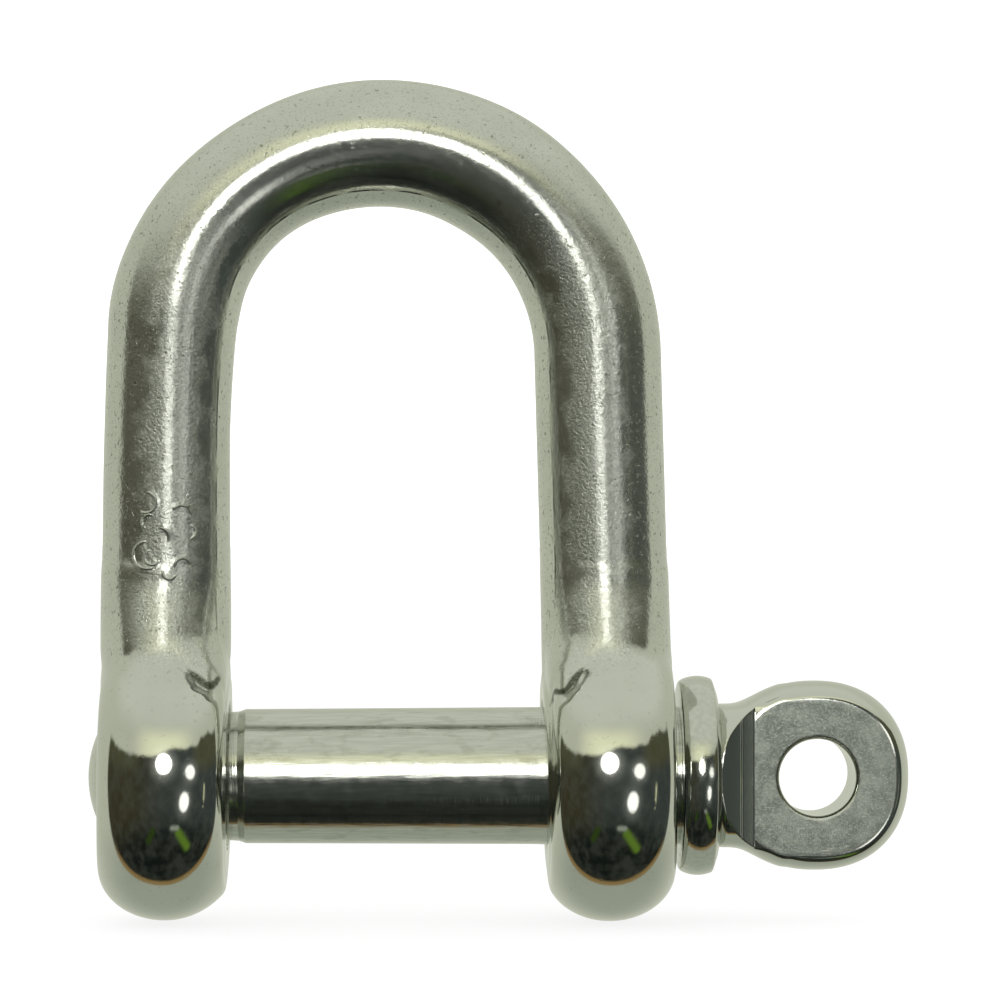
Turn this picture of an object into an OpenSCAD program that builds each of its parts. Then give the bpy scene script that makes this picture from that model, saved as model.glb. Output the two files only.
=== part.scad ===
// Dee shackle with a screw pin.
// The bow and the pin are forged steel; the pin screws into the left ear.
// Origin: on the pin's axis, midway between the ears' inner faces.
// +X runs along the pin towards its eye, +Z up to the crown, Y is the depth.

/* [Bow] */
// Diameter of the forged bar
bar_d = 11.8; // [11:0.1:12.4]
// Jaw, between the ears' inner faces
jaw_w = 29.6; // [27:0.1:32]
// Pin axis to the inside of the crown
inside_len = 52.6; // [44:0.1:60]
// Outward lean of each leg, degrees
leg_flare = 0.9; // [0.5:0.1:1.5]
// Diameter of each ear
ear_d = 27; // [25:0.1:29]
// Thickness of each ear along the pin
ear_t = 11.6; // [11.3:0.05:12.4]
// Radius of the ears' rounded rims
ear_round = 5.9; // [4:0.1:6]

/* [Pin] */
// Diameter of the plain shank
shank_d = 12.5; // [12.3:0.05:12.8]
// Clearance all round the pin in the right ear
bore_gap = 0.1; // [0.05:0.01:0.3]
// How far the domed tip stands out of the left ear
tip_out = 1.2; // [0.2:0.1:2]
// Diameter of the collar
collar_d = 18.5; // [17:0.1:20]
// Thickness of the collar
collar_t = 3.6; // [3:0.1:4.5]
// Gap between the collar and the right ear, pin a third of a turn short of home
seat_gap = 0.75; // [0.65:0.05:1]

/* [Thread] */
// Crest diameter of the pin's thread
thread_d = 11.9; // [11.6:0.05:12]
// Rise per turn, right-hand
pitch = 1.75; // [1.5:0.05:2]
// Depth of the thread
thread_depth = 0.95; // [0.7:0.01:1]
// Clearance between the pin's thread and the ear's
thread_gap = 0.15; // [0.12:0.01:0.2]

/* [Eye] */
// Diameter of the eye's rim
eye_d = 17.8; // [16:0.1:19]
// Thickness of the flattened eye
eye_t = 7.7; // [6:0.1:8.4]
// Diameter of the lanyard hole
hole_d = 7.1; // [6:0.05:9]
// Distance from the collar to the lanyard hole's centre
eye_reach = 9.05; // [8.5:0.05:11]
// Diameter of the neck behind the collar
neck_d = 13.3; // [12:0.1:14]

/* [Hidden] */
$fn = 96;

steel = [0.62, 0.62, 0.58];
bright = [0.68, 0.68, 0.64];
satin = [0.56, 0.57, 0.54];

// bow
bar_r = bar_d / 2;
ear_r = ear_d / 2;
face_x = jaw_w / 2;
ear_mid = face_x + ear_t / 2;
ear_end = face_x + ear_t;
face_cut = 0.6;     // depth machined off each ear's forged inner face
blank_t = ear_t + face_cut;
arch_r = ear_mid - 0.875;
arch_z = inside_len - (arch_r - bar_r);
leg_top_x = arch_r * cos(leg_flare);
leg_top_z = arch_z + arch_r * sin(leg_flare);
leg_len = leg_top_z / cos(leg_flare) - 2;
leg_lap = 0.3;      // how far each leg reaches into the bend
leg_proud = 0.02;   // its radius over the bend's, forged a hair thicker
fair_top = 14;      // where the leg begins to widen into the ear, above the ear's rim
fair_r = 10.2;      // half-depth of the widening at its foot
fair_foot = 8.2;    // height of that foot above the pin axis
fair_slim = 0.56;   // its width along the pin, as a share of its depth

// pin
shank_r = shank_d / 2;
shoulder_x = -face_x + 1.8;
lead_x = -face_x + 0.4;
collar_x = ear_end + seat_gap;
neck_x = collar_x + collar_t;
fit_x = face_x - 0.3;
fit_r = shank_r + 0.2;      // the shank is a little thicker inside the right ear
bore_r = fit_r + bore_gap;
spigot_r = 5.2;
spigot_gap = 0.05;
tip_x = -ear_end - tip_out;

// thread
sides = 24;
crest_r = thread_d / 2;
root_r = crest_r - thread_depth;
crest_w = pitch / 8;
flank_w = thread_depth * tan(30);
relief_r = root_r - 0.15;
relief_x = lead_x - 0.9;
relief_len = 1.2;
blank_r = crest_r + 0.35;   // the bar the pin's thread is cut from
thread_turns = 12;
thread_x = -ear_end - tip_out - 2.4 * pitch;    // where both screws are drawn from
tip_r = 3.2;        // flat on the domed tip
tip_edge_r = 4.6;   // the dome's radius at its two bevels' joint
tip_edge = 0.5;     // distance of that joint from the tip
tip_len = 2;        // length of the dome
sink = 0.75;        // how far the countersinks open past the thread's crest
sink_out = 0.3;     // how far each is drawn beyond its face
sink_len = 1.1;     // its depth below the face

// eye
eye_r = eye_d / 2;
eye_x = neck_x + eye_reach;
neck_r = neck_d / 2;
eye_round = 1.1;
nip_x = 1.95;       // where the cheeks' two slopes meet, from the collar
nip_y = 4.94;       // and their half-thickness there
flat_x = 3.2;       // where the flats begin, from the collar

// A screw: the points of one profile, repeated once per turn, stand on each of
// the radial lines; the solid rises by one pitch from the last line to the first.
function screw_z(i, zs) = pitch * floor(i / 4) + zs[i % 4];
function screw_pt(i, j, rs, zs) = [
    rs[i % 4] * cos(360 * j / sides),
    rs[i % 4] * sin(360 * j / sides),
    screw_z(i, zs) + pitch * j / sides
];

module screw(turns, rs, zs) {
    rows = 4 * turns;
    pts = concat(
        [for (j = [0:sides - 1]) for (i = [0:rows + 4]) screw_pt(i, j, rs, zs)],
        [[0, 0, screw_z(0, zs)], [0, 0, screw_z(rows, zs)]]
    );
    line = rows + 5;
    foot = len(pts) - 2;
    top = len(pts) - 1;
    walls = [
        for (j = [0:sides - 1])
        for (i = [0:rows - 1])
        let (a = j * line + i, b = j < sides - 1 ? a + line : i + 4)
        each [[a, a + 1, b + 1], [a, b + 1, b]]
    ];
    ends = [
        for (j = [0:sides - 1])
        let (a = j * line, b = j < sides - 1 ? a + line : 4)
        each [[foot, a, b], [top, b + rows, a + rows]]
    ];
    steps = [
        [4, 3, 2, 1, 0, foot],
        [top, rows, rows + 1, rows + 2, rows + 3, rows + 4]
    ];
    polyhedron(points = pts, faces = concat(walls, ends, steps));
}

// profile of the pin's thread, grown by g all round for the ear's thread
module thread(turns, g) {
    slope = g / cos(30);
    cw = crest_w / 2 - g * tan(30) + slope;
    rw = cw + flank_w;
    screw(
        turns,
        [root_r + g, crest_r + g, crest_r + g, root_r + g],
        [-rw, -cw, cw, rw]
    );
}

// a plain round bar along X
module bar(x0, x1, r) {
    translate([x0, 0, 0])
        rotate([0, 90, 0])
            cylinder(h = x1 - x0, r = r);
}

// a tapered round bar along X
module taper(x0, x1, r0, r1) {
    translate([x0, 0, 0])
        rotate([0, 90, 0])
            cylinder(h = x1 - x0, r1 = r0, r2 = r1);
}

// half of a plate's section with two rounded outer corners
module round_half(half_t, r, rc) {
    translate([0, -half_t]) square([r - rc, 2 * half_t]);
    translate([0, -half_t + rc]) square([r, 2 * (half_t - rc)]);
    for (s = [-1, 1])
        translate([r - rc, s * (half_t - rc)]) circle(r = rc);
}

module ear() {
    translate([ear_end - blank_t / 2, 0, 0])
        rotate([0, 90, 0])
            rotate_extrude()
                round_half(blank_t / 2, ear_r, ear_round);
}

// the leg's foot, widening front and back into the ear
module fairing() {
    translate([ear_mid - 0.15, 0, fair_foot])
        scale([fair_slim, 1, 1])
            cylinder(h = fair_top, r1 = fair_r, r2 = bar_r - 0.3);
}

module leg() {
    translate([leg_top_x, 0, leg_top_z])
        rotate([0, 180 - leg_flare, 0])
            translate([0, 0, -leg_lap])
                cylinder(h = leg_len + leg_lap, r = bar_r + leg_proud);
}

module side() {
    difference() {
        union() {
            leg();
            fairing();
            ear();
        }
        // ear's inner face, spot-faced
        bar(0, face_x, ear_r + 0.4);
    }
}

module bow() {
    color(steel)
        difference() {
            union() {
                translate([0, 0, arch_z])
                    rotate([90, 0, 0])
                        rotate([0, 0, leg_flare])
                            rotate_extrude(angle = 180 - 2 * leg_flare)
                                translate([arch_r, 0]) circle(r = bar_r);
                side();
                mirror([1, 0, 0]) side();
            }
            bar(0, ear_end + 1, bore_r);
            taper(face_x - 0.01, face_x + 0.5, bore_r + 0.5, bore_r - 0.01);
            tapped_hole();
        }
}

// screw hole in the left ear, countersunk at both faces
module tapped_hole() {
    intersection() {
        translate([thread_x, 0, 0])
            rotate([0, 90, 0])
                thread(thread_turns, thread_gap);
        bar(-ear_end - 1, -face_x + 1, crest_r + 1);
    }
    taper(-ear_end - sink_out, -ear_end + sink_len, crest_r + sink, root_r);
    taper(-face_x - sink_len, -face_x + sink_out, root_r, crest_r + sink);
}

module pin_collar() {
    color(bright)
        translate([collar_x + collar_t / 2, 0, 0])
            rotate([0, 90, 0])
                difference() {
                    rotate_extrude()
                        round_half(collar_t / 2, collar_d / 2, 1);
                    cylinder(h = 2 * collar_t, r = spigot_r + spigot_gap, center = true);
                }
}

// threaded end with a domed tip
module pin_thread() {
    intersection() {
        translate([thread_x, 0, 0])
            rotate([0, 90, 0])
                thread(thread_turns, 0);
        union() {
            taper(tip_x, tip_x + tip_edge, tip_r, tip_edge_r);
            taper(tip_x + tip_edge, tip_x + tip_len, tip_edge_r, blank_r);
            bar(tip_x + tip_len, relief_x - relief_len / 2, blank_r);
            taper(relief_x - relief_len / 2, relief_x, blank_r, relief_r);
        }
    }
}

module shank() {
    bar(relief_x - relief_len, lead_x + 0.2, relief_r);
    taper(lead_x, shoulder_x, spigot_r, shank_r);
    bar(shoulder_x, fit_x, shank_r);
    bar(fit_x, collar_x - 0.05, fit_r);
    bar(collar_x - 0.05, neck_x + 0.05, spigot_r);
}

// neck flaring into the eye, pressed flat front and back
module eye() {
    neck = [
        [0, 0],
        [0, neck_r],
        [0.8, neck_r],
        [2.3, neck_r + 0.38],
        [4.5, neck_r + 1.23],
        [6, neck_r + 1.6],
        [6, 0]
    ];
    cheek = [
        [-1, neck_r + 0.95],
        [nip_x, nip_y],
        [flat_x, eye_t / 2],
        [eye_reach + eye_r + 1, eye_t / 2]
    ];
    back = [for (i = [len(cheek) - 1:-1:0]) [cheek[i][0], -cheek[i][1]]];
    difference() {
        intersection() {
            union() {
                translate([neck_x + 0.05, 0, 0])
                    rotate([0, 90, 0])
                        rotate_extrude()
                            polygon([for (p = neck) [p[1], p[0]]]);
                translate([eye_x, 0, 0])
                    rotate([90, 0, 0])
                        rotate_extrude()
                            round_half(eye_t / 2, eye_r, eye_round);
            }
            translate([neck_x, 0, -ear_r])
                linear_extrude(height = ear_d)
                    polygon(concat(cheek, back));
        }
        translate([eye_x, 0, 0])
            rotate([90, 0, 0])
                cylinder(h = 2 * eye_t, d = hole_d, center = true);
    }
}

module screw_pin() {
    color(satin)
        union() {
            pin_thread();
            shank();
            eye();
        }
}

bow();
pin_collar();
screw_pin();
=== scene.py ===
import math

import bpy
import numpy as np
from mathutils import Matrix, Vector


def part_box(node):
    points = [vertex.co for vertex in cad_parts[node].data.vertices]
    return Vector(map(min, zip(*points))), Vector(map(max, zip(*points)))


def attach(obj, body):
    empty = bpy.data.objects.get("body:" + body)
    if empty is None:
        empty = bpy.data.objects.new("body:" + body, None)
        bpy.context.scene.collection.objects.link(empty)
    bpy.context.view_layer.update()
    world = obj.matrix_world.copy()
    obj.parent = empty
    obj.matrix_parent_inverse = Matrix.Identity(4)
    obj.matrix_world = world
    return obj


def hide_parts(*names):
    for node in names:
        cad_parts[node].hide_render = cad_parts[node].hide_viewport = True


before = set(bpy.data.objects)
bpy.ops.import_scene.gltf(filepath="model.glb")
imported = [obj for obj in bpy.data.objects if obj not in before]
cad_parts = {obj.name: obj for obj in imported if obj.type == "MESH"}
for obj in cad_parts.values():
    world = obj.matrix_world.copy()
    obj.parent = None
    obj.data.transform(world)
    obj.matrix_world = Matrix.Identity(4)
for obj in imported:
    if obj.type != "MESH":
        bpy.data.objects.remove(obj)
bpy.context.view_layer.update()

MM = 0.001

# ---------------------------------------------------------------- dimensions, mm
# The pin's axis is X, the origin is midway between the ears, +Z is the crown.

BOW_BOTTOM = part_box("bow")[0].z
TIP_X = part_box("screw_pin")[0].x / MM        # top of the pin's domed tip

# the bow's centre line in the XZ plane, from inside the right ear over the crown to the
# left ear: (length, radius of the bend, or None where it is straight)
PATH_START = np.array([20.80, -2.0])
PATH_LEAN = math.radians(1.6)                # of the first stretch, towards the left
PATH = (
    (41.37, None),
    (24.35, 19.96),
    (19.49, 20.37),
    (15.73, 18.18),
    (13.45, 200.0),
    (16.0, None),
)

# the forged bar's radius, and where along it the bar is thicker or thinner:
# (station, half length of the place, mm more)
BAR_R = 5.9
BAR_SWELLS = ((11.6, 5, 0.1), (61.6, 4, 0.1), (84.6, 7, -0.23), (98.6, 3, 0.13), (109.6, 5, -0.07))
LEFT_END_MORE = 0.12

# the left leg's section is askew by this much about its centre at x = -ASKEW_X
ASKEW = 0.2
ASKEW_X = 20.38

SIDES = {
    # the two ears, right 1 and left -1, in mirrored x. rim: its radius. mid, out, reach,
    # bulge, bevel: centre, outer face, inner reach and the two roundings of the rim's
    # section, each at the bottom and at the front. face, lean: the jaw face at the axis
    # and its lean. leg: the leg's centre at LEG_Z and its lean
    1: dict(rim=13.5, mid=(20.7, 20.6), out=(26.75, 26.35), reach=(5.95, 5.5),
            bulge=(4.7, 3.0), bevel=(4.7, 2.9), face=14.72, lean=-0.036, leg=(20.37, -0.028)),
    -1: dict(rim=13.32, mid=(20.45, 20.0), out=(26.6, 26.25), reach=(7.5, 5.3),
             bulge=(4.7, 4.5), bevel=(8.2, 2.8), face=14.69, lean=-0.020, leg=(20.42, 0.0)),
}
LEG_Z = 14.0
LEG_T = 6.0              # half depth of the leg where it starts to widen
LEG_TOP = 18.8           # and the height of that place
LEG_FLARE = 0.27         # slope of its front and back below there
LEG_OUTER = 5.95         # half width on the outer side
LEG_INNER = 4.6          # and on the jaw side, at the bottom
BOSS_R = 9.7             # boss on each jaw face
BOSS_T = 1.8             # half its thickness
BORE_R = 6.55            # plain bore of the right ear
LINER_R = 6.75           # hole of the left ear, which the tapped bore fills
SPOT_FACE = 26.48        # the collar's seat, cut flat on the right ear
SPOT_R = 9.9


def hyp(a, b):
    return np.sqrt(a * a + b * b)


def smin(a, b, k):
    """union of two fields with a fillet"""
    h = np.clip(0.5 + 0.5 * (b - a) / k, 0, 1)
    return b * (1 - h) + a * h - k * h * (1 - h)


def smax(a, b, k):
    return -smin(-a, -b, k)


def ramp(x, x0, x1):
    t = np.clip((x - x0) / (x1 - x0), 0, 1)
    return t * t * (3 - 2 * t)


def fall(x, x0, x1):
    return 1 - ramp(x, x0, x1)


def hump(x, at, width):
    return np.exp(-(((x - at) / width) ** 2))


def oval(px, pr, a, b):
    """distance to an ellipse, good near its edge"""
    k0 = hyp(px / a, pr / b)
    k1 = hyp(px / (a * a), pr / (b * b))
    return k0 * (k0 - 1) / np.maximum(k1, 1e-6)


def box2(dx, dy, r):
    """rounded corner of two half planes"""
    outside = hyp(np.maximum(dx + r, 0), np.maximum(dy + r, 0))
    return np.minimum(np.maximum(dx, dy) + r, 0) + outside - r


# ---------------------------------------------------------------- the bow

def make_path():
    """each stretch of the centre line: start, direction, left normal, length, radius, station"""
    pos, head, s = PATH_START.copy(), PATH_LEAN, 0.0
    out = []
    for length, radius in PATH:
        t = np.array([-math.sin(head), math.cos(head)])
        n = np.array([-math.cos(head), -math.sin(head)])
        out.append((pos.copy(), t, n, length, radius, s))
        if radius is None:
            pos = pos + t * length
        else:
            c = pos + n * radius
            head += length / radius
            pos = c - radius * np.array([-math.cos(head), -math.sin(head)])
        s += length
    return out


SEGS = make_path()


def along(x, z):
    """distance in the XZ plane from the centre line, the station along it, and its direction"""
    best = np.full(x.shape, np.inf)
    st = np.zeros(x.shape)
    dx, dz = np.zeros(x.shape), np.ones(x.shape)
    for pos, t, n, length, radius, s0 in SEGS:
        ex, ez = x - pos[0], z - pos[1]
        if radius is None:
            s = np.clip(ex * t[0] + ez * t[1], 0, length)
            d = hyp(ex - t[0] * s, ez - t[1] * s)
            tx, tz = t[0] + 0 * s, t[1] + 0 * s
        else:
            cx, cz = pos + n * radius
            fx, fz = x - cx, z - cz
            ang = np.arctan2(fx * t[0] + fz * t[1], -(fx * n[0] + fz * n[1]))
            ang = np.clip(ang, 0, length / radius)
            px = cx + radius * (-n[0] * np.cos(ang) + t[0] * np.sin(ang))
            pz = cz + radius * (-n[1] * np.cos(ang) + t[1] * np.sin(ang))
            d = hyp(x - px, z - pz)
            s = ang * radius
            tx = t[0] * np.cos(ang) + n[0] * np.sin(ang)
            tz = t[1] * np.cos(ang) + n[1] * np.sin(ang)
        near = d < best
        best = np.where(near, d, best)
        st = np.where(near, s0 + s, st)
        dx, dz = np.where(near, tx, dx), np.where(near, tz, dz)
    return best, st, dx, dz


def around(x, z):
    """signed distance from the centre line, positive towards the inside, and the station"""
    d, s, tx, tz = along(x, z)
    nudge = 0.01
    inner = along(x - tz * nudge, z + tx * nudge)[0]
    return np.where(inner > d, d, -d), s


def bar_radius(s):
    """radius of the bar at a station"""
    r = BAR_R + LEFT_END_MORE * ramp(s, 117.6, 128.6)
    for at, width, more in BAR_SWELLS:
        r = r + more * hump(s, at, width)
    return r


def askew(x, y, z):
    """how much the left leg's section bulges here"""
    off = x + ASKEW_X
    bulge = -2 * off * y / (off * off + y * y + 1e-6)
    return ASKEW * bulge * ramp(z, 15, 20) * fall(z, 43, 50) * (x < -10)


def squircle(px, py, a, b, n):
    """distance to a superellipse, good near its edge"""
    u, w = px / a, py / b
    un, wn = u ** (n - 1), w ** (n - 1)
    rho = np.maximum(un * u + wn * w, 1e-9) ** (1 / n)
    slope = hyp(un / a, wn / b) / np.maximum(rho, 1e-6) ** (n - 1)
    return (rho - 1) / np.maximum(slope, 1e-6)


def foot(ax, y, z, rad, p):
    """the leg as it widens front and back into the ear; squarer on the jaw side"""
    shrink = 1.2 * ramp(z, 18.5, 24)         # it sinks into the bar at its top
    off = ax - (p["leg"][0] + p["leg"][1] * (z - LEG_Z))
    drop = np.maximum(LEG_TOP - z, 0)
    depth = LEG_T + LEG_FLARE * drop * drop / (drop + 1.0) + 1.4 * fall(z, 7.0, 11.5) - shrink
    inner = LEG_INNER + 1.2 * ramp(z, 3.0, 8.5) - shrink
    outer = LEG_OUTER - shrink
    n = np.where(off < 0, 2 + 2.6 * fall(z, 8.0, 13.5), 2.0)
    d = squircle(np.abs(off), np.abs(y), np.where(off < 0, inner, outer), depth, n)
    d = smax(d, rad - p["rim"] + 0.7 - 8 * ramp(z, 8, 12), 0.6)      # kept inside the rim
    return np.maximum(d + 1.6 * fall(z, 0.5, 7.0), -1.5 - z)         # and sunk in the ear below


def ear_parts(ax, y, z, rad, side):
    """the ear's disc and the leg's foot, not yet joined, and the jaw face's x"""
    p = SIDES[side]
    w = np.where(z > 0, 1.0, y * y / (rad * rad + 1e-9))    # 0 at the bottom, 1 in front

    def at(name):
        low, front = p[name]
        return low + (front - low) * w

    xc, a_out, a_in = at("mid"), at("out") - at("mid"), at("reach")
    b_out, b_in = at("bulge"), at("bevel")
    outer = ax > xc
    off = np.abs(ax - xc)
    disc = oval(off, np.maximum(rad - p["rim"] + np.where(outer, b_out, b_in), 0),
                np.where(outer, a_out, a_in), np.where(outer, b_out, b_in))
    face = p["face"] + p["lean"] * np.clip(z, -14, 8)
    return smax(disc, face - ax, 0.25), foot(ax, y, z, rad, p), face


def crease_line(gap, ax, y, z, width):
    """1 in the crease between the ear and the leg's foot, on the jaw side, front and back; there the bow
    gets a groove and painted shade
    """
    groove_and_painted_shade = hump(gap, 0, width) * fall(ax, 17.4, 18.5) * ramp(np.abs(y), 6.2, 7.2)
    return groove_and_painted_shade * ramp(z, 0.5, 3.5) * fall(z, 10.2, 11.2)


def ear(ax, y, z, rad, side):
    """one ear with its crease, its foot and its boss"""
    disc, leg, face = ear_parts(ax, y, z, rad, side)
    # the fillet is sharp on the jaw side, wide on the front and medium outside
    fillet = 0.3 + 0.9 * ramp(ax, 18.2, 19.8) * (1 - 0.75 * ramp(ax, 22, 25)) * ramp(z, 5, 9)
    d = smin(disc, leg, fillet) + 0.2 * crease_line(disc - leg, ax, y, z, 0.3)
    boss = box2(np.abs(ax - (face + BOSS_T)) - BOSS_T, rad - BOSS_R, 0.9)
    return smin(d, boss, 0.35)


def mouth(hole, rad, depth):
    """a hole whose edge is broken to a small bevel; depth below the face"""
    return np.maximum(hole - rad, 0.8 * (hole + 0.5 - np.maximum(depth, 0) - rad))


def bow_field(x, y, z):
    """negative inside the forging"""
    off, s = along(x, z)[:2]
    bar = hyp(off, y) - bar_radius(s) - askew(x, y, z)
    rad = hyp(y, z)
    out = bar
    for side in SIDES:
        ax = x * side
        here = (ax > 8) & (z < 24)
        if not here.any():
            continue
        a, yy, zz, rr = ax[here], y[here], z[here], rad[here]
        f = smin(bar[here], ear(a, yy, zz, rr, side), 0.3)
        if side > 0:
            depth = np.minimum(a - SIDES[1]["face"], SIDES[1]["out"][1] - a)
            f = smax(f, mouth(BORE_R, rr, depth), 0.15)
            f = smax(f, np.minimum(a - SPOT_FACE, SPOT_R - rr), 0.1)
        else:
            f = smax(f, LINER_R - rr, 0.12)
        out[here] = f
    return out


# ---------------------------------------------------------------- the pin

THREAD_PITCH = 1.75
THREAD_R = 5.95
THREAD_DEPTH = 0.95
THREAD_PHASE = 0.4
THREAD_CREST = 0.14          # half the width of a crest, as a part of half a pitch
THREAD_FLANK = 0.72          # and the width of a flank
THREAD_END = -14.9           # where the threaded piece meets the shank
UNDERCUT_R = 4.85            # groove beside the shank
TIP_R = 4.9                  # edge of the domed tip
DOME_R = 10
SHALLOW = 0.7                # slope of a cone's field, so that it is nearly a distance


def thread_radius(x, y, z, grow):
    """60 degree thread about X"""
    turn = np.arctan2(z, y) / (2 * math.pi)
    u = (x / THREAD_PITCH - turn + THREAD_PHASE) % 1.0
    v = np.abs(u - 0.5) * 2                    # 0 at a crest, 1 at a root
    return THREAD_R + grow - THREAD_DEPTH * np.clip((v - THREAD_CREST) / THREAD_FLANK, 0, 1)


def thread_field(x, y, z):
    """the pin's threaded end, with a domed tip, a lead and an undercut"""
    rad = hyp(y, z)
    d = (rad - thread_radius(x, y, z, 0)) * SHALLOW
    dome = np.sqrt((x - (TIP_X + DOME_R)) ** 2 + rad * rad) - DOME_R
    lead = (rad - TIP_R - (x - TIP_X - 0.9)) * SHALLOW
    d = smax(smax(d, dome, 0.15), lead, 0.15)
    d = smax(d, (rad - UNDERCUT_R + (x - THREAD_END + 0.5)) * SHALLOW, 0.1)
    return smax(d, x - THREAD_END, 0.1)


def liner_field(x, y, z):
    """the left ear's tapped bore, as a threaded ring that fills its hole"""
    rad = hyp(y, z)
    ax = -x
    face = SIDES[-1]["face"]
    end = SIDES[-1]["out"][1]
    d = (thread_radius(x, y, z, 0.15) - rad) * SHALLOW
    mouth_out = (LINER_R - (end - ax) - rad) * SHALLOW
    mouth_in = (LINER_R - (ax - face) - rad) * SHALLOW
    d = smax(smax(d, mouth_out, 0.1), mouth_in, 0.1)
    d = np.maximum(d, rad - LINER_R - 0.04)
    return np.maximum(d, np.abs(ax - (end + face) / 2) - (end - face) / 2)


EYE_X = 39.8             # the lanyard hole's axis
EYE_R = 8.8              # half width of the eye's outline
EYE_SQUARE = 2.25        # and its exponent: 2 is round
EYE_HALF = 3.85          # half thickness between the flats
RIM_R = 7.2              # radius of the rim's section
HOLE_R = 3.55
HOLE_BELL = 0.22         # the hole opens by this much at its two ends
NECK_R = 6.64
NECK_GROWS = 1.75
NECK_START = 30.4
FLAT_X = 33.97           # where the flats begin
NIP_X = 32.7             # where the two slopes that run down to them meet
NECK_CUT = (30.86, 6.6)  # where those slopes leave the neck: x and half thickness
NECK_SLOPE = 0.900
NIP_GROOVE = 0.05
BEVEL_AT = 5.63          # where the flats' broken edge begins, out from the rim's centre
BEVEL_SLOPE = 0.30


def flats_field(x, ay, z, out):
    """negative between the two milled flats, their slopes and their broken edges"""
    nip = NECK_CUT[1] - NECK_SLOPE * (NIP_X - NECK_CUT[0])
    slope = (nip - EYE_HALF) / (FLAT_X - NIP_X)
    low = EYE_HALF - slope * (x - FLAT_X)
    high = NECK_CUT[1] - NECK_SLOPE * (x - NECK_CUT[0])
    top = smin(low, high, 0.05) - NIP_GROOVE * hump(x, NIP_X, 0.05)
    steep = np.where(low > EYE_HALF, 0.74, 1.0)
    cut = steep * (ay - smax(top, EYE_HALF + 0 * x, 0.06))
    edge = BEVEL_AT + (0.6 * ramp(-z, 2, 6) + 0.35 * ramp(z, 2, 6)) * fall(x, 36, 39)
    bevel = ay - EYE_HALF + BEVEL_SLOPE * (out - edge) - 8.0 * fall(x, 33.75, FLAT_X)
    return smax(cut, bevel, 0.12)


def eye_field(x, y, z):
    """the pin's neck and eye"""
    ay = np.abs(y)
    # the neck turns from round to a softened square and back
    n = 2 + 0.7 * ramp(x, 30.3, 31.4) * fall(x, 33.0, 35.5)
    rad = (ay ** n + np.abs(z) ** n + 1e-9) ** (1 / n)
    neck = (rad - NECK_R - NECK_GROWS * ramp(x, 31.6, 38.4)) * 0.95
    neck = neck + 0.5 * np.maximum(x - 36.3, 0) ** 2
    outline = (np.abs(x - EYE_X) ** EYE_SQUARE + np.abs(z) ** EYE_SQUARE) ** (1 / EYE_SQUARE)
    out = np.maximum(outline - (EYE_R - RIM_R), 0)
    d = smin(neck, hyp(out, ay) - RIM_R, 0.9)
    d = smax(d, flats_field(x, ay, z, out), 0.08 + 0.22 * ramp(x, 33.8, 35.2))
    hole = HOLE_R + HOLE_BELL * ramp(ay, EYE_HALF - 0.45, EYE_HALF) - hyp(x - EYE_X, z)
    return np.maximum(smax(d, hole, 0.2), NECK_START - x)


# ---------------------------------------------------------------- meshing

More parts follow.
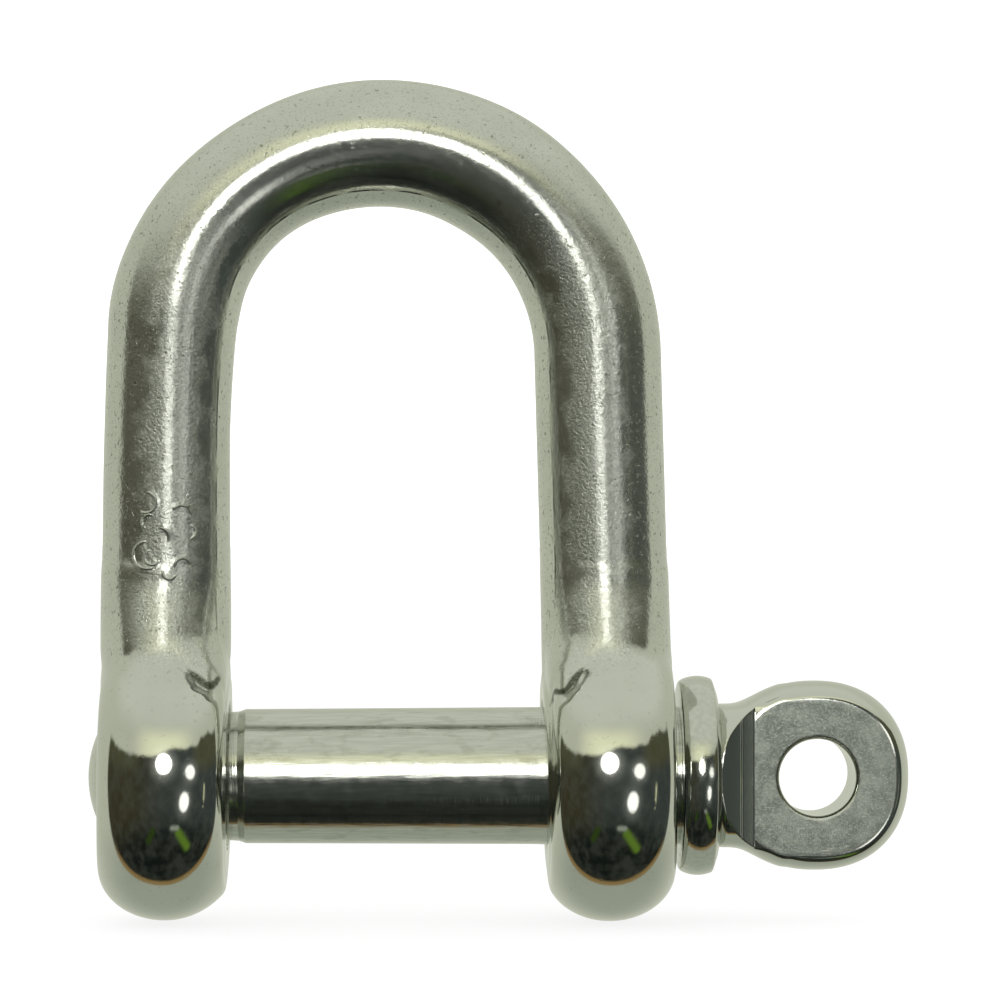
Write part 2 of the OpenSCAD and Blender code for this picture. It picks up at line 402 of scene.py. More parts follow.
def net(field, lo, hi, h, relax=2):
    """closed quad mesh of field = 0 with its vertices moved onto the surface"""
    lo = np.array(lo, float)
    n = np.ceil((np.array(hi) - lo) / h).astype(int) + 1
    ax = [lo[i] + h * np.arange(n[i]) for i in range(3)]
    f = np.empty(n)
    slab = 24                                  # layers worked out at a time
    for i in range(0, n[0], slab):
        f[i:i + slab] = field(*np.meshgrid(ax[0][i:i + slab], ax[1], ax[2], indexing="ij"))
    inside = f < 0
    c = np.zeros(n - 1, np.int8)
    corners = [(i, j, k) for i in (0, 1) for j in (0, 1) for k in (0, 1)]
    for i, j, k in corners:
        c += inside[i:i + n[0] - 1, j:j + n[1] - 1, k:k + n[2] - 1]
    active = (c > 0) & (c < 8)
    cells = np.argwhere(active)
    index = np.full(n - 1, -1, np.int64)
    index[active] = np.arange(len(cells))
    val = {}
    for o in corners:
        q = cells + o
        val[o] = f[q[:, 0], q[:, 1], q[:, 2]]
    acc, cnt = np.zeros((len(cells), 3)), np.zeros(len(cells))
    for a in corners:
        for axis in range(3):
            if a[axis] == 1:
                continue
            b = tuple(v + (k == axis) for k, v in enumerate(a))
            va, vb = val[a], val[b]
            m = (va < 0) != (vb < 0)
            t = np.where(m, va / np.where(m, va - vb, 1), 0)
            p = np.tile(np.array(a, float), (len(cells), 1))
            p[:, axis] += t
            acc += p * m[:, None]
            cnt += m
    verts = lo + h * (cells + acc / cnt[:, None])
    faces = []
    for axis in range(3):
        u, w = (axis + 1) % 3, (axis + 2) % 3
        i0 = [slice(None)] * 3
        i1 = [slice(None)] * 3
        i0[axis], i1[axis] = slice(0, n[axis] - 1), slice(1, n[axis])
        s0, s1 = inside[tuple(i0)], inside[tuple(i1)]
        edge = np.argwhere(s0 != s1)
        ok = (edge[:, u] > 0) & (edge[:, u] < n[u] - 1)
        ok &= (edge[:, w] > 0) & (edge[:, w] < n[w] - 1)
        edge = edge[ok]
        flip = s0[edge[:, 0], edge[:, 1], edge[:, 2]]
        quad = []
        for du, dw in ((1, 1), (0, 1), (0, 0), (1, 0)):
            e = edge.copy()
            e[:, u] -= du
            e[:, w] -= dw
            quad.append(index[e[:, 0], e[:, 1], e[:, 2]])
        quad = np.stack(quad, 1)
        quad[~flip] = quad[~flip][:, ::-1]
        faces.append(quad)
    faces = np.concatenate(faces)
    verts = settle(field, verts, h, 4)
    pairs = np.concatenate([faces[:, [i, (i + 1) % 4]] for i in range(4)])
    for _ in range(relax):
        s = np.zeros_like(verts)
        cnt = np.zeros(len(verts))
        for a, b in ((0, 1), (1, 0)):
            for k in range(3):
                s[:, k] += np.bincount(pairs[:, a], verts[pairs[:, b], k], len(verts))
            cnt += np.bincount(pairs[:, a], minlength=len(verts))
        verts = verts + 0.5 * (s / cnt[:, None] - verts)
        verts = settle(field, verts, h, 2)
    return verts, faces, gradient(field, verts)


def gradient(field, v, e=0.02):
    """slope of the field at each vertex"""
    g = np.empty_like(v)
    for k in range(3):
        d = np.zeros(3)
        d[k] = e
        a, b = v + d, v - d
        g[:, k] = (field(a[:, 0], a[:, 1], a[:, 2]) - field(b[:, 0], b[:, 1], b[:, 2])) / (2 * e)
    return g


def settle(field, v, h, times):
    """moves vertices onto field = 0, by at most 0.6 of the grid's step at a time"""
    for _ in range(times):
        g = gradient(field, v)
        f = field(v[:, 0], v[:, 1], v[:, 2])
        step = g * (f / np.maximum((g * g).sum(1), 0.05))[:, None]
        size = np.sqrt((step ** 2).sum(1))
        step *= np.minimum(1, 0.6 * h / np.maximum(size, 1e-9))[:, None]
        v = v - step
    return v


def piece(name, verts, faces, body, node, material, normals=None):
    """a smooth mesh from points in mm, riding a body in place of a CAD node"""
    me = bpy.data.meshes.new(name)
    me.from_pydata((verts * MM).tolist(), [], faces)
    me.polygons.foreach_set("use_smooth", np.ones(len(me.polygons), bool))
    if normals is not None:
        normals = normals / np.maximum(np.sqrt((normals ** 2).sum(1)), 1e-9)[:, None]
        me.normals_split_custom_set_from_vertices(normals.tolist())
    me.update()
    ob = bpy.data.objects.new(name, me)
    bpy.context.scene.collection.objects.link(ob)
    me.materials.append(material)
    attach(ob, body)
    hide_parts(node)
    return ob


def rounded(points, radius, closed, steps=5):
    """an (x, r) line with its corners rounded"""
    pts = [np.array(p, float) for p in points]
    out = []
    for i, p in enumerate(pts):
        if not closed and i in (0, len(pts) - 1):
            out.append(p)
            continue
        da, db = pts[i - 1] - p, pts[(i + 1) % len(pts)] - p
        la, lb = np.linalg.norm(da), np.linalg.norm(db)
        cut = min(radius, 0.45 * la, 0.45 * lb)
        s, e = p + da / la * cut, p + db / lb * cut
        for k in range(steps + 1):
            t = k / steps
            out.append((1 - t) ** 2 * s + 2 * t * (1 - t) * p + t * t * e)
    return np.array(out)


def spin(line, n):
    """the points of an (x, r) line turned about X in n steps"""
    th = np.arange(n) * 2 * math.pi / n
    x, r = line[:, 0][:, None], line[:, 1][:, None]
    return np.stack([np.repeat(x, n, 1), r * np.cos(th)[None], r * np.sin(th)[None]], 2).reshape(-1, 3)


def band(i, k, n):
    """the faces between two turned points"""
    return [[i * n + j, i * n + (j + 1) % n, k * n + (j + 1) % n, k * n + j] for j in range(n)]


def turned_rod(points, radius=0.08, n=192):
    """closed solid turned about X; the line starts and ends on the axis"""
    line = rounded(points, radius, closed=False)
    inner = line[1:-1]
    ends = np.array([[line[0, 0], 0, 0], [line[-1, 0], 0, 0]])
    verts = np.concatenate([spin(inner, n), ends])
    m = len(inner)
    first, last = m * n, m * n + 1
    faces = [face for i in range(m - 1) for face in band(i, i + 1, n)]
    faces += [[first, (j + 1) % n, j] for j in range(n)]
    faces += [[last, (m - 1) * n + j, (m - 1) * n + (j + 1) % n] for j in range(n)]
    return verts, faces


def turned_ring(points, radius=0.2, n=192):
    """closed ring turned about X from a loop that doesn't touch the axis"""
    line = rounded(points, radius, closed=True)
    m = len(line)
    return spin(line, n), [face for i in range(m) for face in band(i, (i + 1) % m, n)]


# ---------------------------------------------------------------- materials

class G:
    """short helpers to wire the nodes of a material or a world, from an empty tree"""

    def __init__(self, owner):
        owner.use_nodes = True
        self.t = owner.node_tree
        self.t.nodes.clear()

    def node(self, kind, **props):
        n = self.t.nodes.new(kind)
        for k, v in props.items():
            setattr(n, k, v)
        return n

    def put(self, sock, v):
        """links an output to a socket, or sets the socket's value"""
        if isinstance(v, bpy.types.NodeSocket):
            self.t.links.new(v, sock)
        else:
            sock.default_value = v

    def math(self, op, a, b=0.0, clamp=False):
        n = self.node("ShaderNodeMath", operation=op, use_clamp=clamp)
        self.put(n.inputs[0], a)
        self.put(n.inputs[1], b)
        return n.outputs[0]

    def add(self, a, b):
        return self.math("ADD", a, b)

    def mul(self, a, b):
        return self.math("MULTIPLY", a, b)

    def apart(self, a, b):
        """how far a is from b"""
        return self.math("ABSOLUTE", self.math("SUBTRACT", a, b))

    def length(self, a, b):
        return self.math("SQRT", self.add(self.mul(a, a), self.mul(b, b)))

    def ramp(self, v, a, b, to0=0.0, to1=1.0):
        n = self.node("ShaderNodeMapRange", interpolation_type="SMOOTHSTEP")
        self.put(n.inputs["Value"], v)
        self.put(n.inputs["From Min"], a)
        self.put(n.inputs["From Max"], b)
        self.put(n.inputs["To Min"], to0)
        self.put(n.inputs["To Max"], to1)
        return n.outputs["Result"]

    def mix(self, f, a, b, kind="MIX"):
        n = self.node("ShaderNodeMix", data_type="RGBA", blend_type=kind)
        self.put(n.inputs[0], f)
        self.put(n.inputs[6], a)
        self.put(n.inputs[7], b)
        return n.outputs[2]

    def noise(self, vec, scale, detail=2.0, rough=0.5):
        n = self.node("ShaderNodeTexNoise")
        self.put(n.inputs["Vector"], vec)
        n.inputs["Scale"].default_value = scale
        n.inputs["Detail"].default_value = detail
        n.inputs["Roughness"].default_value = rough
        return n.outputs["Fac"]

    def split(self, vec):
        n = self.node("ShaderNodeSeparateXYZ")
        self.put(n.inputs[0], vec)
        return n.outputs[0], n.outputs[1], n.outputs[2]

    def scaled(self, vec, s):
        n = self.node("ShaderNodeVectorMath", operation="MULTIPLY")
        self.put(n.inputs[0], vec)
        n.inputs[1].default_value = s
        return n.outputs[0]

    def bump(self, height, dist, strength=1.0):
        n = self.node("ShaderNodeBump")
        self.put(n.inputs["Height"], height)
        n.inputs["Distance"].default_value = dist
        self.put(n.inputs["Strength"], strength)
        return n.outputs[0]

    def attribute(self, name, kind="Vector"):
        return self.node("ShaderNodeAttribute", attribute_name=name).outputs[kind]


def new_metal(name):
    """a material, its helpers, its output and metal shader, and the place in mm"""
    mat = bpy.data.materials.new(name)
    g = G(mat)
    out = g.node("ShaderNodeOutputMaterial")
    b = g.node("ShaderNodeBsdfPrincipled")
    b.inputs["Metallic"].default_value = 1.0
    g.put(out.inputs[0], b.outputs[0])
    mm = g.scaled(g.node("ShaderNodeTexCoord").outputs["Object"], (1 / MM, 1 / MM, 1 / MM))
    return mat, g, out, b, mm


STEEL = (0.63, 0.645, 0.59, 1)
STEEL_DULL = (0.56, 0.575, 0.52, 1)
STEEL_WORN = (0.80, 0.82, 0.76, 1)
PITTED = (0.24, 0.25, 0.19, 1)
# painted shade: near black, for the crease beside each ear where shade falls
PAINTED_CREASE_SHADE = (0.10, 0.11, 0.075, 1)
STAINED = (0.36, 0.36, 0.28, 1)


LAPS = (
    # curled forging laps on the left leg: across the bar and height in mm, radius, direction
    # of the arc's middle and half its span in degrees
    ((-1.6, 25.4), 0.95, -20, 100), ((-1.25, 23.6), 0.7, 150, 80), ((-1.5, 20.6), 1.25, 200, 105),
    ((-1.0, 20.4), 0.7, 220, 110), ((1.7, 24.3), 0.85, 75, 75), ((2.35, 22.7), 0.6, 0, 70),
    ((1.8, 19.6), 0.7, 100, 85), ((0.6, 19.0), 0.6, 250, 80), ((-0.2, 22.3), 0.75, 30, 60),
)
LAP_WIDTH = 0.16
LAPS_X = 20.4                # the left leg's middle, mirrored


def lap_height(g, px, pz, at, radius, turn, span):
    """one lap: a raised line along an arc and a step inside it"""
    dx, dz = g.math("SUBTRACT", px, at[0]), g.math("SUBTRACT", pz, at[1])
    r = g.length(dx, dz)
    line = g.ramp(g.apart(r, radius), 0.0, LAP_WIDTH, 1.0, 0.0)
    turn = math.radians(turn)
    facing = g.add(g.mul(dx, math.cos(turn)), g.mul(dz, math.sin(turn)))
    open_at = radius * math.cos(math.radians(span))
    line = g.mul(line, g.ramp(facing, open_at - 0.15, open_at + 0.25))
    step = g.mul(g.ramp(r, radius - 0.1, radius + 0.5, 0.5, 0.0), g.ramp(facing, open_at, open_at + 0.4))
    return g.add(line, step)


def laps_height(g, mm):
    """all the laps, on the front of the left leg only"""
    x, y, z = g.split(mm)
    laps = None
    for lap in LAPS:
        one = lap_height(g, g.add(x, LAPS_X), z, *lap)
        laps = one if laps is None else g.math("MAXIMUM", laps, one)
    return g.mul(laps, g.mul(g.ramp(y, 0.0, 0.5, 1.0, 0.0), g.ramp(x, -10, -12)))


FLASH_ANGLE = 0.92           # round the bar from its front, towards the inside
GRAIN_ANGLE = 0.15           # middle of the grainy band
CROWN_AT = 71.0              # station of the crown


def forged_steel():
    """polished ears; legs and crown brushed along the bar, with grain, pits and fine laps, and painted
    shade in the creases beside the ears
    """
    mat, g, out, b, mm = new_metal("forged_steel")
    z = g.split(mm)[2]
    inward, front, station = g.split(g.attribute("bar_pos"))
    angle = g.math("ARCTAN2", inward, front)
    # 0 on the ears, 1 on the legs; and 0 on the crown, 1 below it
    leg = g.ramp(g.add(z, g.mul(g.noise(mm, 0.25, 3), 5.0)), 8.5, 19.0)
    crown = g.ramp(g.apart(station, CROWN_AT), 12.0, 26.0)
    speck = g.noise(mm, 3.0, 2, 0.6)
    peel = g.noise(mm, 1.1, 3, 0.5)
    broad = g.noise(mm, 0.22, 2, 0.5)
    pits = g.ramp(g.noise(mm, 2.3, 2, 0.5), 0.645, 0.70)
    scuff = g.ramp(g.noise(mm, 5.0, 1, 0.5), 0.56, 0.70)
    # the front of the bar keeps more of the forged grain than its flanks and crown
    edge = g.mul(g.math("SUBTRACT", g.noise(mm, 0.35, 3), 0.5), 1.2)
    grain = g.ramp(g.add(g.apart(angle, GRAIN_ANGLE), edge), 0.30, 0.62, 1.0, 0.06)
    grain = g.mul(grain, g.mul(leg, g.ramp(crown, 0, 1, 0.12, 1.0)))
    rough = g.mul(g.ramp(leg, 0, 1, 0.07, 0.20), g.ramp(crown, 0, 1, 0.8, 1.0))
    g.put(b.inputs["Roughness"], g.add(rough, g.mul(g.mul(peel, leg), 0.08)))
    g.put(b.inputs["Anisotropic"], g.ramp(leg, 0, 1, 0.0, 0.85))
    g.put(b.inputs["Tangent"], g.attribute("bar_dir"))
    tint = g.mix(g.mul(g.ramp(broad, 0.35, 0.65), 0.4), STEEL, STEEL_DULL)
    dark = g.mul(pits, g.ramp(leg, 0, 1, 0.14, 0.6))
    dark = g.math("ADD", dark, g.mul(scuff, g.ramp(leg, 0, 1, 0.0, 0.30)), clamp=True)
    # painted shade: the creases beside the ears are painted near black
    colour = g.mix(g.ramp(g.attribute("groove_and_painted_shade", "Fac"), 0.15, 0.75), g.mix(dark, tint, PITTED), PAINTED_CREASE_SHADE)
    g.put(b.inputs["Base Color"], colour)
    # trimmed flash along the inside of the bow
    flash = g.ramp(g.apart(angle, FLASH_ANGLE), 0.0, 0.045, 1.0, 0.0)
    flash = g.mul(flash, g.ramp(g.noise(mm, 0.3, 2), 0.42, 0.55))
    h = g.add(g.mul(speck, 0.9), g.mul(peel, 1.1))
    h = g.math("SUBTRACT", h, pits)
    h = g.mul(h, g.mul(g.ramp(leg, 0, 1, 0.05, 1.0), g.ramp(crown, 0, 1, 0.4, 1.0)))
    h = g.add(h, g.mul(g.mul(flash, leg), 2.0))
    h = g.add(h, g.mul(laps_height(g, mm), 4.0))
    g.put(b.inputs["Normal"], g.bump(h, 0.02 * MM))
    # the grain itself: a second, broad and sparkling reflection
    dots = g.noise(mm, 4.0, 2, 0.65)
    second = g.node("ShaderNodeBsdfAnisotropic")
    g.put(second.inputs["Color"], g.mix(g.ramp(dots, 0.42, 0.62), colour, STEEL_WORN))
    second.inputs["Roughness"].default_value = 0.42
    g.put(second.inputs["Normal"], g.bump(g.add(g.mul(dots, 3.0), h), 0.04 * MM))
    both = g.node("ShaderNodeMixShader")
    g.put(both.inputs[0], g.mul(grain, 0.55))
    g.put(both.inputs[1], b.outputs[0])
    g.put(both.inputs[2], second.outputs[0])
    g.put(out.inputs[0], both.outputs[0])
    return mat


def polished_steel():
    mat, g, _, b, mm = new_metal("polished_steel")
    n = g.noise(mm, 2.0, 3)
    g.put(b.inputs["Base Color"], g.mix(g.ramp(n, 0.3, 0.7), STEEL, STEEL_DULL))
    g.put(b.inputs["Roughness"], g.ramp(n, 0.3, 0.7, 0.07, 0.13))
    g.put(b.inputs["Normal"], g.bump(g.noise(mm, 3.0, 3), 0.01 * MM, 0.5))
    return mat


def satin_steel():
    """turned and worn along the pin, with rub marks round it"""
    mat, g, _, b, mm = new_metal("satin_steel")
    n = g.noise(g.scaled(mm, (0.25, 3.0, 3.0)), 1.2, 3)
    ring = g.noise(g.scaled(mm, (6.0, 0.3, 0.3)), 1.0, 2)
    stain = g.ramp(g.noise(g.scaled(mm, (0.5, 1.0, 1.0)), 0.8, 3, 0.6), 0.52, 0.7)
    tint = g.mix(g.ramp(n, 0.3, 0.7), STEEL, STEEL_DULL)
    g.put(b.inputs["Base Color"], g.mix(g.mul(stain, 0.35), tint, STAINED))
    g.put(b.inputs["Roughness"], g.ramp(g.noise(mm, 1.0, 3), 0.3, 0.7, 0.13, 0.2))
    g.put(b.inputs["Normal"], g.bump(g.add(n, ring), 0.02 * MM, 0.5))
    return mat


def eye_steel():
    """polished all over, with blasted flats"""
    mat, g, _, b, mm = new_metal("eye_steel")
    x, y, z = g.split(mm)
    ay = g.math("ABSOLUTE", y)
    flat = g.mul(g.ramp(ay, EYE_HALF - 0.05, EYE_HALF - 0.01), g.ramp(x, FLAT_X - 0.12, FLAT_X))
    flat = g.mul(flat, g.ramp(ay, EYE_HALF + 0.02, EYE_HALF + 0.12, 1.0, 0.0))
    grain = g.noise(mm, 4.5, 3, 0.7)
    blotch = g.noise(mm, 0.7, 4, 0.65)
    scratch = g.ramp(g.noise(g.scaled(mm, (1.2, 1.0, 4.5)), 2.4, 3, 0.6), 0.60, 0.70)
    dull = g.mix(g.ramp(blotch, 0.35, 0.65), (0.245, 0.27, 0.24, 1), (0.385, 0.41, 0.365, 1))
    dull = g.mix(g.mul(g.ramp(grain, 0.45, 0.7), 0.5), dull, (0.62, 0.65, 0.59, 1))
    dull = g.mix(g.mul(scratch, 0.6), dull, (0.80, 0.82, 0.75, 1))
    g.put(b.inputs["Base Color"], g.mix(flat, STEEL, dull))
    g.put(b.inputs["Roughness"], g.ramp(flat, 0, 1, 0.09, 0.45))
    height = g.add(grain, g.mul(blotch, 0.6))
    g.put(b.inputs["Normal"], g.bump(height, 0.04 * MM, g.ramp(flat, 0, 1, 0.05, 0.8)))
    return mat


# ---------------------------------------------------------------- build

FORGED = forged_steel()
POLISHED = polished_steel()
SATIN = satin_steel()
EYE_MAT = eye_steel()

H_BOW = 0.36          # grid steps
H_PIN = 0.16

# the shank in the left ear's relief, through the jaw and the right ear, and under the collar
SHANK = (
    (-15.2, 0), (-15.2, 4.8), (-14.9, 5.2), (-14.7, 5.93), (-13.65, 5.99), (-13.0, 6.22), (-12.0, 6.22),
    (0, 6.28), (14.0, 6.36), (14.7, 6.4), (27.2, 6.4), (27.2, 5.2), (30.8, 5.2), (30.8, 0),
)
COLLAR_CROWN = [(x, 9.26 - 0.155 * (x - 28.9) ** 2) for x in np.linspace(27.5, 30.2, 10)]
COLLAR = [(27.15, 5.25), (27.15, 8.72)] + COLLAR_CROWN + [(30.62, 7.75), (30.72, 7.0), (30.75, 5.25)]


def netted_piece(name, field, lo, hi, h, body, node, material):
    verts, faces, normals = net(field, lo, hi, h)
    return piece(name, verts, faces.tolist(), body, node, material, normals), verts


def painted_shade_in_crease(verts):
    """how much painted shade each vertex gets in the crease beside an ear"""
    groove_and_painted_shade = np.zeros(len(verts))
    for side in SIDES:
        part = (verts[:, 0] * side > 8) & (verts[:, 2] < 20)

        def gap(x, y, z):
            disc, leg, _ = ear_parts(x * side, y, z, hyp(y, z), side)
            return disc - leg

        at = verts[part]
        slope = np.sqrt((gradient(gap, at) ** 2).sum(1))
        off = gap(*at.T) / np.maximum(slope, 0.05)
        groove_and_painted_shade[part] = crease_line(off, at[:, 0] * side, at[:, 1], at[:, 2], 0.28)
    return groove_and_painted_shade


def add_vectors(ob, name, x, y, z):
    attribute = ob.data.attributes.new(name, "FLOAT_VECTOR", "POINT")
    attribute.data.foreach_set("vector", np.stack([x, y, z], 1).ravel())


def build_bow():
    """the forging, with what its material needs to know about each vertex"""
    lo, hi = (-28.2, -14.6, -14.6), (28.2, 14.6, 65.8)
    ob, verts = netted_piece("bow_forging", bow_field, lo, hi, H_BOW, "bow", "bow", FORGED)
    x, y, z = verts.T
    tx, tz = along(x, z)[2:]
    add_vectors(ob, "bar_dir", tx, 0 * tx, tz)              # direction of the bar
    inward, station = around(x, z)
    add_vectors(ob, "bar_pos", inward, -y, station)         # mm towards the inside and front
    # painted shade in the crease beside each ear, for the material
    ob.data.attributes.new("groove_and_painted_shade", "FLOAT", "POINT").data.foreach_set("value", painted_shade_in_crease(verts))


build_bow()
netted_piece("pin_eye_head", eye_field, (29.6, -7.9, -9.9), (49.8, 7.9, 9.9), H_PIN,
             "pin", "screw_pin", EYE_MAT)
netted_piece("pin_thread_end", thread_field, (TIP_X - 0.5, -6.6, -6.6), (-14.4, 6.6, 6.6), H_PIN,
             "pin", "screw_pin", SATIN)
netted_piece("bow_tapped_bore", liner_field, (-27.6, -7.3, -7.3), (-13.8, 7.3, 7.3), H_PIN,
             "bow", "bow", POLISHED)
piece("pin_shank_body", *turned_rod(SHANK), "pin", "screw_pin", SATIN)
piece("pin_collar_ring", *turned_ring(COLLAR), "collar", "pin_collar", POLISHED)

# ---------------------------------------------------------------- stage

FLOOR_SIZE = 3.0


def make_floor():
    """pale and lit mostly from within, like a light table, so that shadows on it stay faint"""
    z = BOW_BOTTOM - 0.05 * MM
    w = FLOOR_SIZE
    me = bpy.data.meshes.new("floor")
    me.from_pydata([(-w, -w, z), (w, -w, z), (w, w, z), (-w, w, z)], [], [(0, 1, 2, 3)])
    ob = bpy.data.objects.new("floor", me)
    bpy.context.scene.collection.objects.link(ob)
    mat = bpy.data.materials.new("pale_floor")
    g = G(mat)
    co = g.node("ShaderNodeTexCoord").outputs["Object"]
    matt = g.node("ShaderNodeBsdfDiffuse")
    g.put(matt.inputs[0], g.mix(g.noise(co, 30.0, 2), (0.14, 0.14, 0.14, 1), (0.16, 0.16, 0.158, 1)))
    glow = g.node("ShaderNodeEmission")
    glow.inputs[1].default_value = 0.86
    both = g.node("ShaderNodeAddShader")
    g.put(both.inputs[0], matt.outputs[0])
    g.put(both.inputs[1], glow.outputs[0])
    g.put(g.node("ShaderNodeOutputMaterial").inputs[0], both.outputs[0])
    me.materials.append(mat)
    ob.visible_glossy = False


make_floor()


def unit(azimuth, elevation):
    """direction to the right of, above and back past the camera"""
    a, e = math.radians(azimuth), math.radians(elevation)
    return Vector((math.cos(e) * math.sin(a), math.sin(e), math.cos(e) * math.cos(a)))


class Studio(G):
    """what polished steel mirrors, in directions from the camera: azimuth and elevation
    are 0 straight back past the camera, in degrees, positive to the right and up"""

    def __init__(self, world):
        super().__init__(world)
        turn = self.node("ShaderNodeVectorTransform", vector_type="VECTOR",
                         convert_from="WORLD", convert_to="CAMERA")
        self.put(turn.inputs[0], self.node("ShaderNodeTexCoord").outputs["Generated"])
        right, up, self.ahead = self.split(turn.outputs[0])
        back = self.mul(self.ahead, -1.0)
        self.az = self.mul(self.math("ARCTAN2", right, back), 180 / math.pi)
        self.el = self.mul(self.math("ARCSINE", up), 180 / math.pi)
        join = self.node("ShaderNodeCombineXYZ")
        for i, v in enumerate((right, up, back)):
            self.put(join.inputs[i], v)
        self.way = join.outputs[0]
        self.stuff = self.noise(self.way, 6.0, 4, 0.6)

    def oval(self, a, e, wa, we, soft):
        """1 inside an ellipse of directions, 0 outside"""
        da = self.math("DIVIDE", self.math("SUBTRACT", self.az, a), wa)
        de = self.math("DIVIDE", self.math("SUBTRACT", self.el, e), we)
        return self.ramp(self.length(da, de), 1 - soft, 1 + soft, 1.0, 0.0)

    def slab(self, v, v0, v1, soft):
        return self.mul(self.ramp(v, v0 - soft, v0 + soft), self.ramp(v, v1 - soft, v1 + soft, 1.0, 0.0))

    def capsule(self, start, end, r0, r1):
        """1 near the line between two directions (azimuth, elevation)"""
        p = unit(*start)
        line = unit(*end) - p
        off = self.node("ShaderNodeVectorMath", operation="SUBTRACT")
        self.put(off.inputs[0], self.way)
        off.inputs[1].default_value = p
        dot = self.node("ShaderNodeVectorMath", operation="DOT_PRODUCT")
        self.put(dot.inputs[0], off.outputs[0])
        dot.inputs[1].default_value = line / line.length_squared
        nearest = self.node("ShaderNodeVectorMath", operation="SCALE")
        nearest.inputs[0].default_value = line
        self.put(nearest.inputs["Scale"], self.math("MULTIPLY", dot.outputs["Value"], 1.0, clamp=True))
        gap = self.node("ShaderNodeVectorMath", operation="DISTANCE")
        self.put(gap.inputs[0], off.outputs[0])
        self.put(gap.inputs[1], nearest.outputs[0])
        return self.ramp(gap.outputs["Value"], r0, r1, 1.0, 0.0)

    def room(self):
        """the dark room behind the camera"""
        room = self.mix(self.ramp(self.az, -50, 10), (0.050, 0.045, 0.024, 1), (0.050, 0.060, 0.058, 1))
        room = self.mix(self.ramp(self.el, -20, -50), room, (0.010, 0.013, 0.011, 1))
        corners = self.mul(self.ramp(self.el, 2, 14), self.ramp(self.math("ABSOLUTE", self.az), 28, 44))
        room = self.mix(corners, room, (0.085, 0.085, 0.045, 1))
        things = self.mix(0.5, room, (0.13, 0.14, 0.12, 1))
        return self.mix(self.ramp(self.stuff, 0.35, 0.7, 0.0, 0.6), room, things)

    def tent(self):
        """the white paper round and over the part"""
        light = self.mix(self.ramp(self.el, 30, 50), (0.62, 0.64, 0.54, 1), (0.72, 0.745, 0.66, 1))
        light = self.mix(self.ramp(self.el, -10, -60), light, (0.42, 0.455, 0.385, 1))
        middle = self.ramp(self.math("ABSOLUTE", self.add(self.az, 2.0)), 10, 50, 1.0, 0.0)
        glow = self.mul(middle, self.ramp(self.el, 30, 46, 1.0, 0.0))
        glow = self.mul(glow, self.ramp(self.ahead, -0.3, 0.0, 1.0, 0.0))
        return self.mix(glow, light, (1.05, 1.05, 0.76, 1))

    def tent_shape(self):
        """1 where there is paper: ahead, and above an uneven edge"""
        step = self.add(18.5, self.ramp(self.az, -22, 12, 0.0, 7.0))
        bulge = self.mul(self.ramp(self.az, 43, 53), self.ramp(self.az, 67, 82, 4.5, -1.0))
        step = self.add(step, bulge)
        ragged = self.mul(self.math("SUBTRACT", self.stuff, 0.5), 6.0)
        top = self.ramp(self.math("SUBTRACT", self.add(self.el, ragged), step), -2.0, 2.0)
        return self.math("MAXIMUM", self.ramp(self.ahead, 0.0, 0.06), top)

    def table_edge(self):
        edge = self.mul(self.ramp(self.ahead, -0.06, 0.0), self.ramp(self.el, -28, -50))
        return self.mul(edge, self.ramp(self.ahead, 0.03, 0.07, 1.0, 0.0))


# small things in the dark room: two directions, inner and outer radius, colour
THINGS = (
    ((20, -42), (42, -53), 0.02, 0.10, (0.13, 0.23, 0.03, 1)),
    ((10, -38), (17, -38), 0.01, 0.06, (0.35, 0.38, 0.32, 1)),
    ((-17, -39), (-27, -47), 0.01, 0.08, (0.035, 0.065, 0.012, 1)),
)
# lamps: azimuth, elevation, half width, half height, halo, power
LAMPS = (
    (-1.5, 13.5, 8.5, 7.5, 0.22, 9.0),
    (29.5, 6.5, 6.5, 5.5, 0.12, 1.7),
    (22.5, -17.0, 6.0, 8.0, 0.10, 1.8),
)
PLAIN_LIGHT = 1.3            # what lights the floor and fills the background


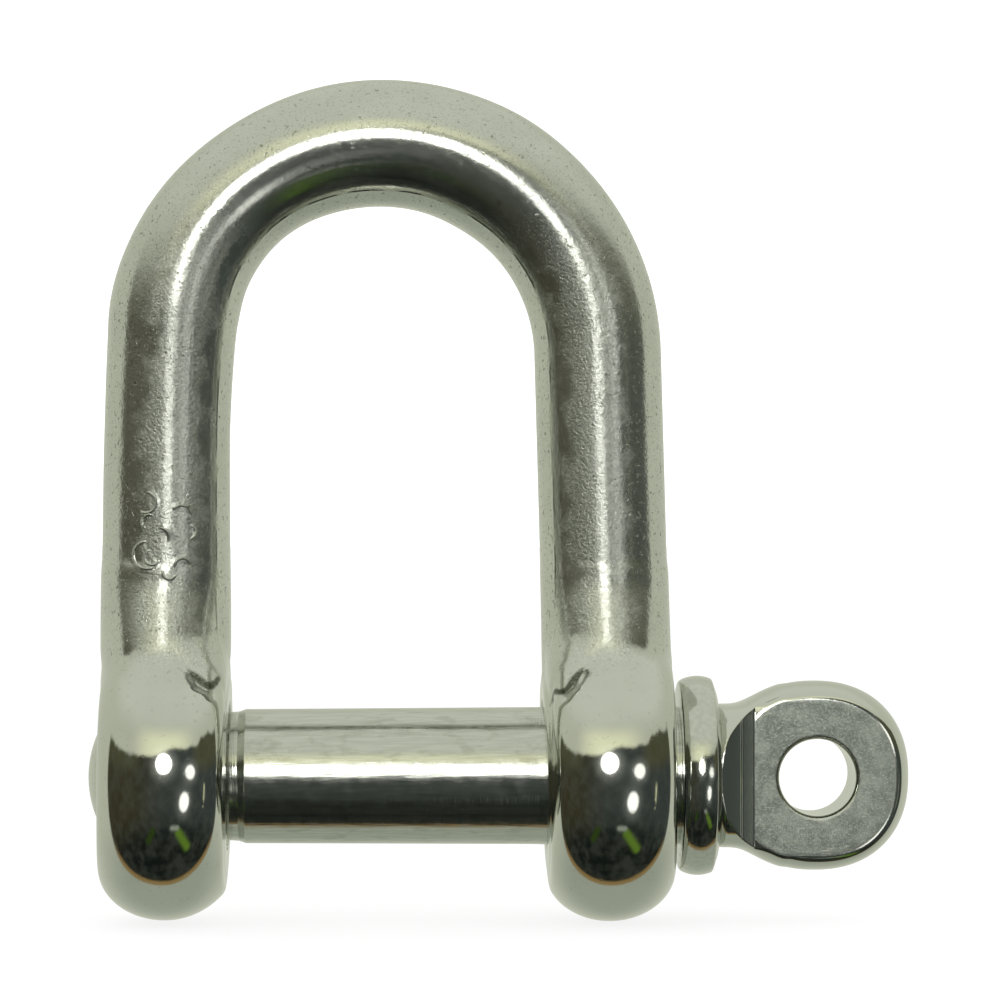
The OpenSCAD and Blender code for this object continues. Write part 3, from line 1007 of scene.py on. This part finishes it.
def make_world():
    world = bpy.data.worlds.new("studio")
    bpy.context.scene.world = world
    g = Studio(world)
    col = g.mix(g.tent_shape(), g.room(), g.tent())
    col = g.mix(g.table_edge(), col, (0.33, 0.22, 0.09, 1))
    for start, end, r0, r1, colour in THINGS:
        col = g.mix(g.capsule(start, end, r0, r1), col, colour)
    strip = g.mul(g.slab(g.az, 51.5, 53.5, 1.2), g.slab(g.el, -21, -3, 1.2))
    col = g.mix(g.mul(strip, g.ramp(g.stuff, 0.40, 0.5)), col, (0.9, 0.9, 0.6, 1))
    for a, e, wa, we, halo, power in LAMPS:
        col = g.mix(g.oval(a, e, wa * 1.6, we * 1.6, 0.6), col, (halo, halo, halo * 0.93, 1), "ADD")
        col = g.mix(g.oval(a, e, wa, we, 0.18), col, (power, power, power * 0.97, 1))
    mirrored = g.node("ShaderNodeBackground")
    g.put(mirrored.inputs[0], col)
    plain = g.node("ShaderNodeBackground")
    g.put(plain.inputs[0], (1.0, 1.0, 1.0, 1))
    plain.inputs[1].default_value = PLAIN_LIGHT
    either = g.node("ShaderNodeMixShader")
    g.put(either.inputs[0], g.node("ShaderNodeLightPath").outputs["Is Glossy Ray"])
    g.put(either.inputs[1], plain.outputs[0])
    g.put(either.inputs[2], mirrored.outputs[0])
    g.put(g.node("ShaderNodeOutputWorld").inputs[0], either.outputs[0])


make_world()

SEEN_WIDE = 93.02            # width of the frame at the object's middle plane
SENSOR = 36.0
EYE_POINT = Vector((0.3, -374.0, 25.63))
AIM = Vector((10.56, 0.0, 25.63))


def make_camera():
    data = bpy.data.cameras.new("camera")
    cam = bpy.data.objects.new("camera", data)
    bpy.context.scene.collection.objects.link(cam)
    look = AIM - EYE_POINT
    data.sensor_width = SENSOR
    data.lens = SENSOR * look.length / SEEN_WIDE
    data.clip_start, data.clip_end = 0.01, 10.0
    cam.location = EYE_POINT * MM
    cam.rotation_euler = look.to_track_quat("-Z", "Y").to_euler()
    bpy.context.scene.camera = cam


make_camera()
bpy.context.scene.view_settings.view_transform = "Standard"
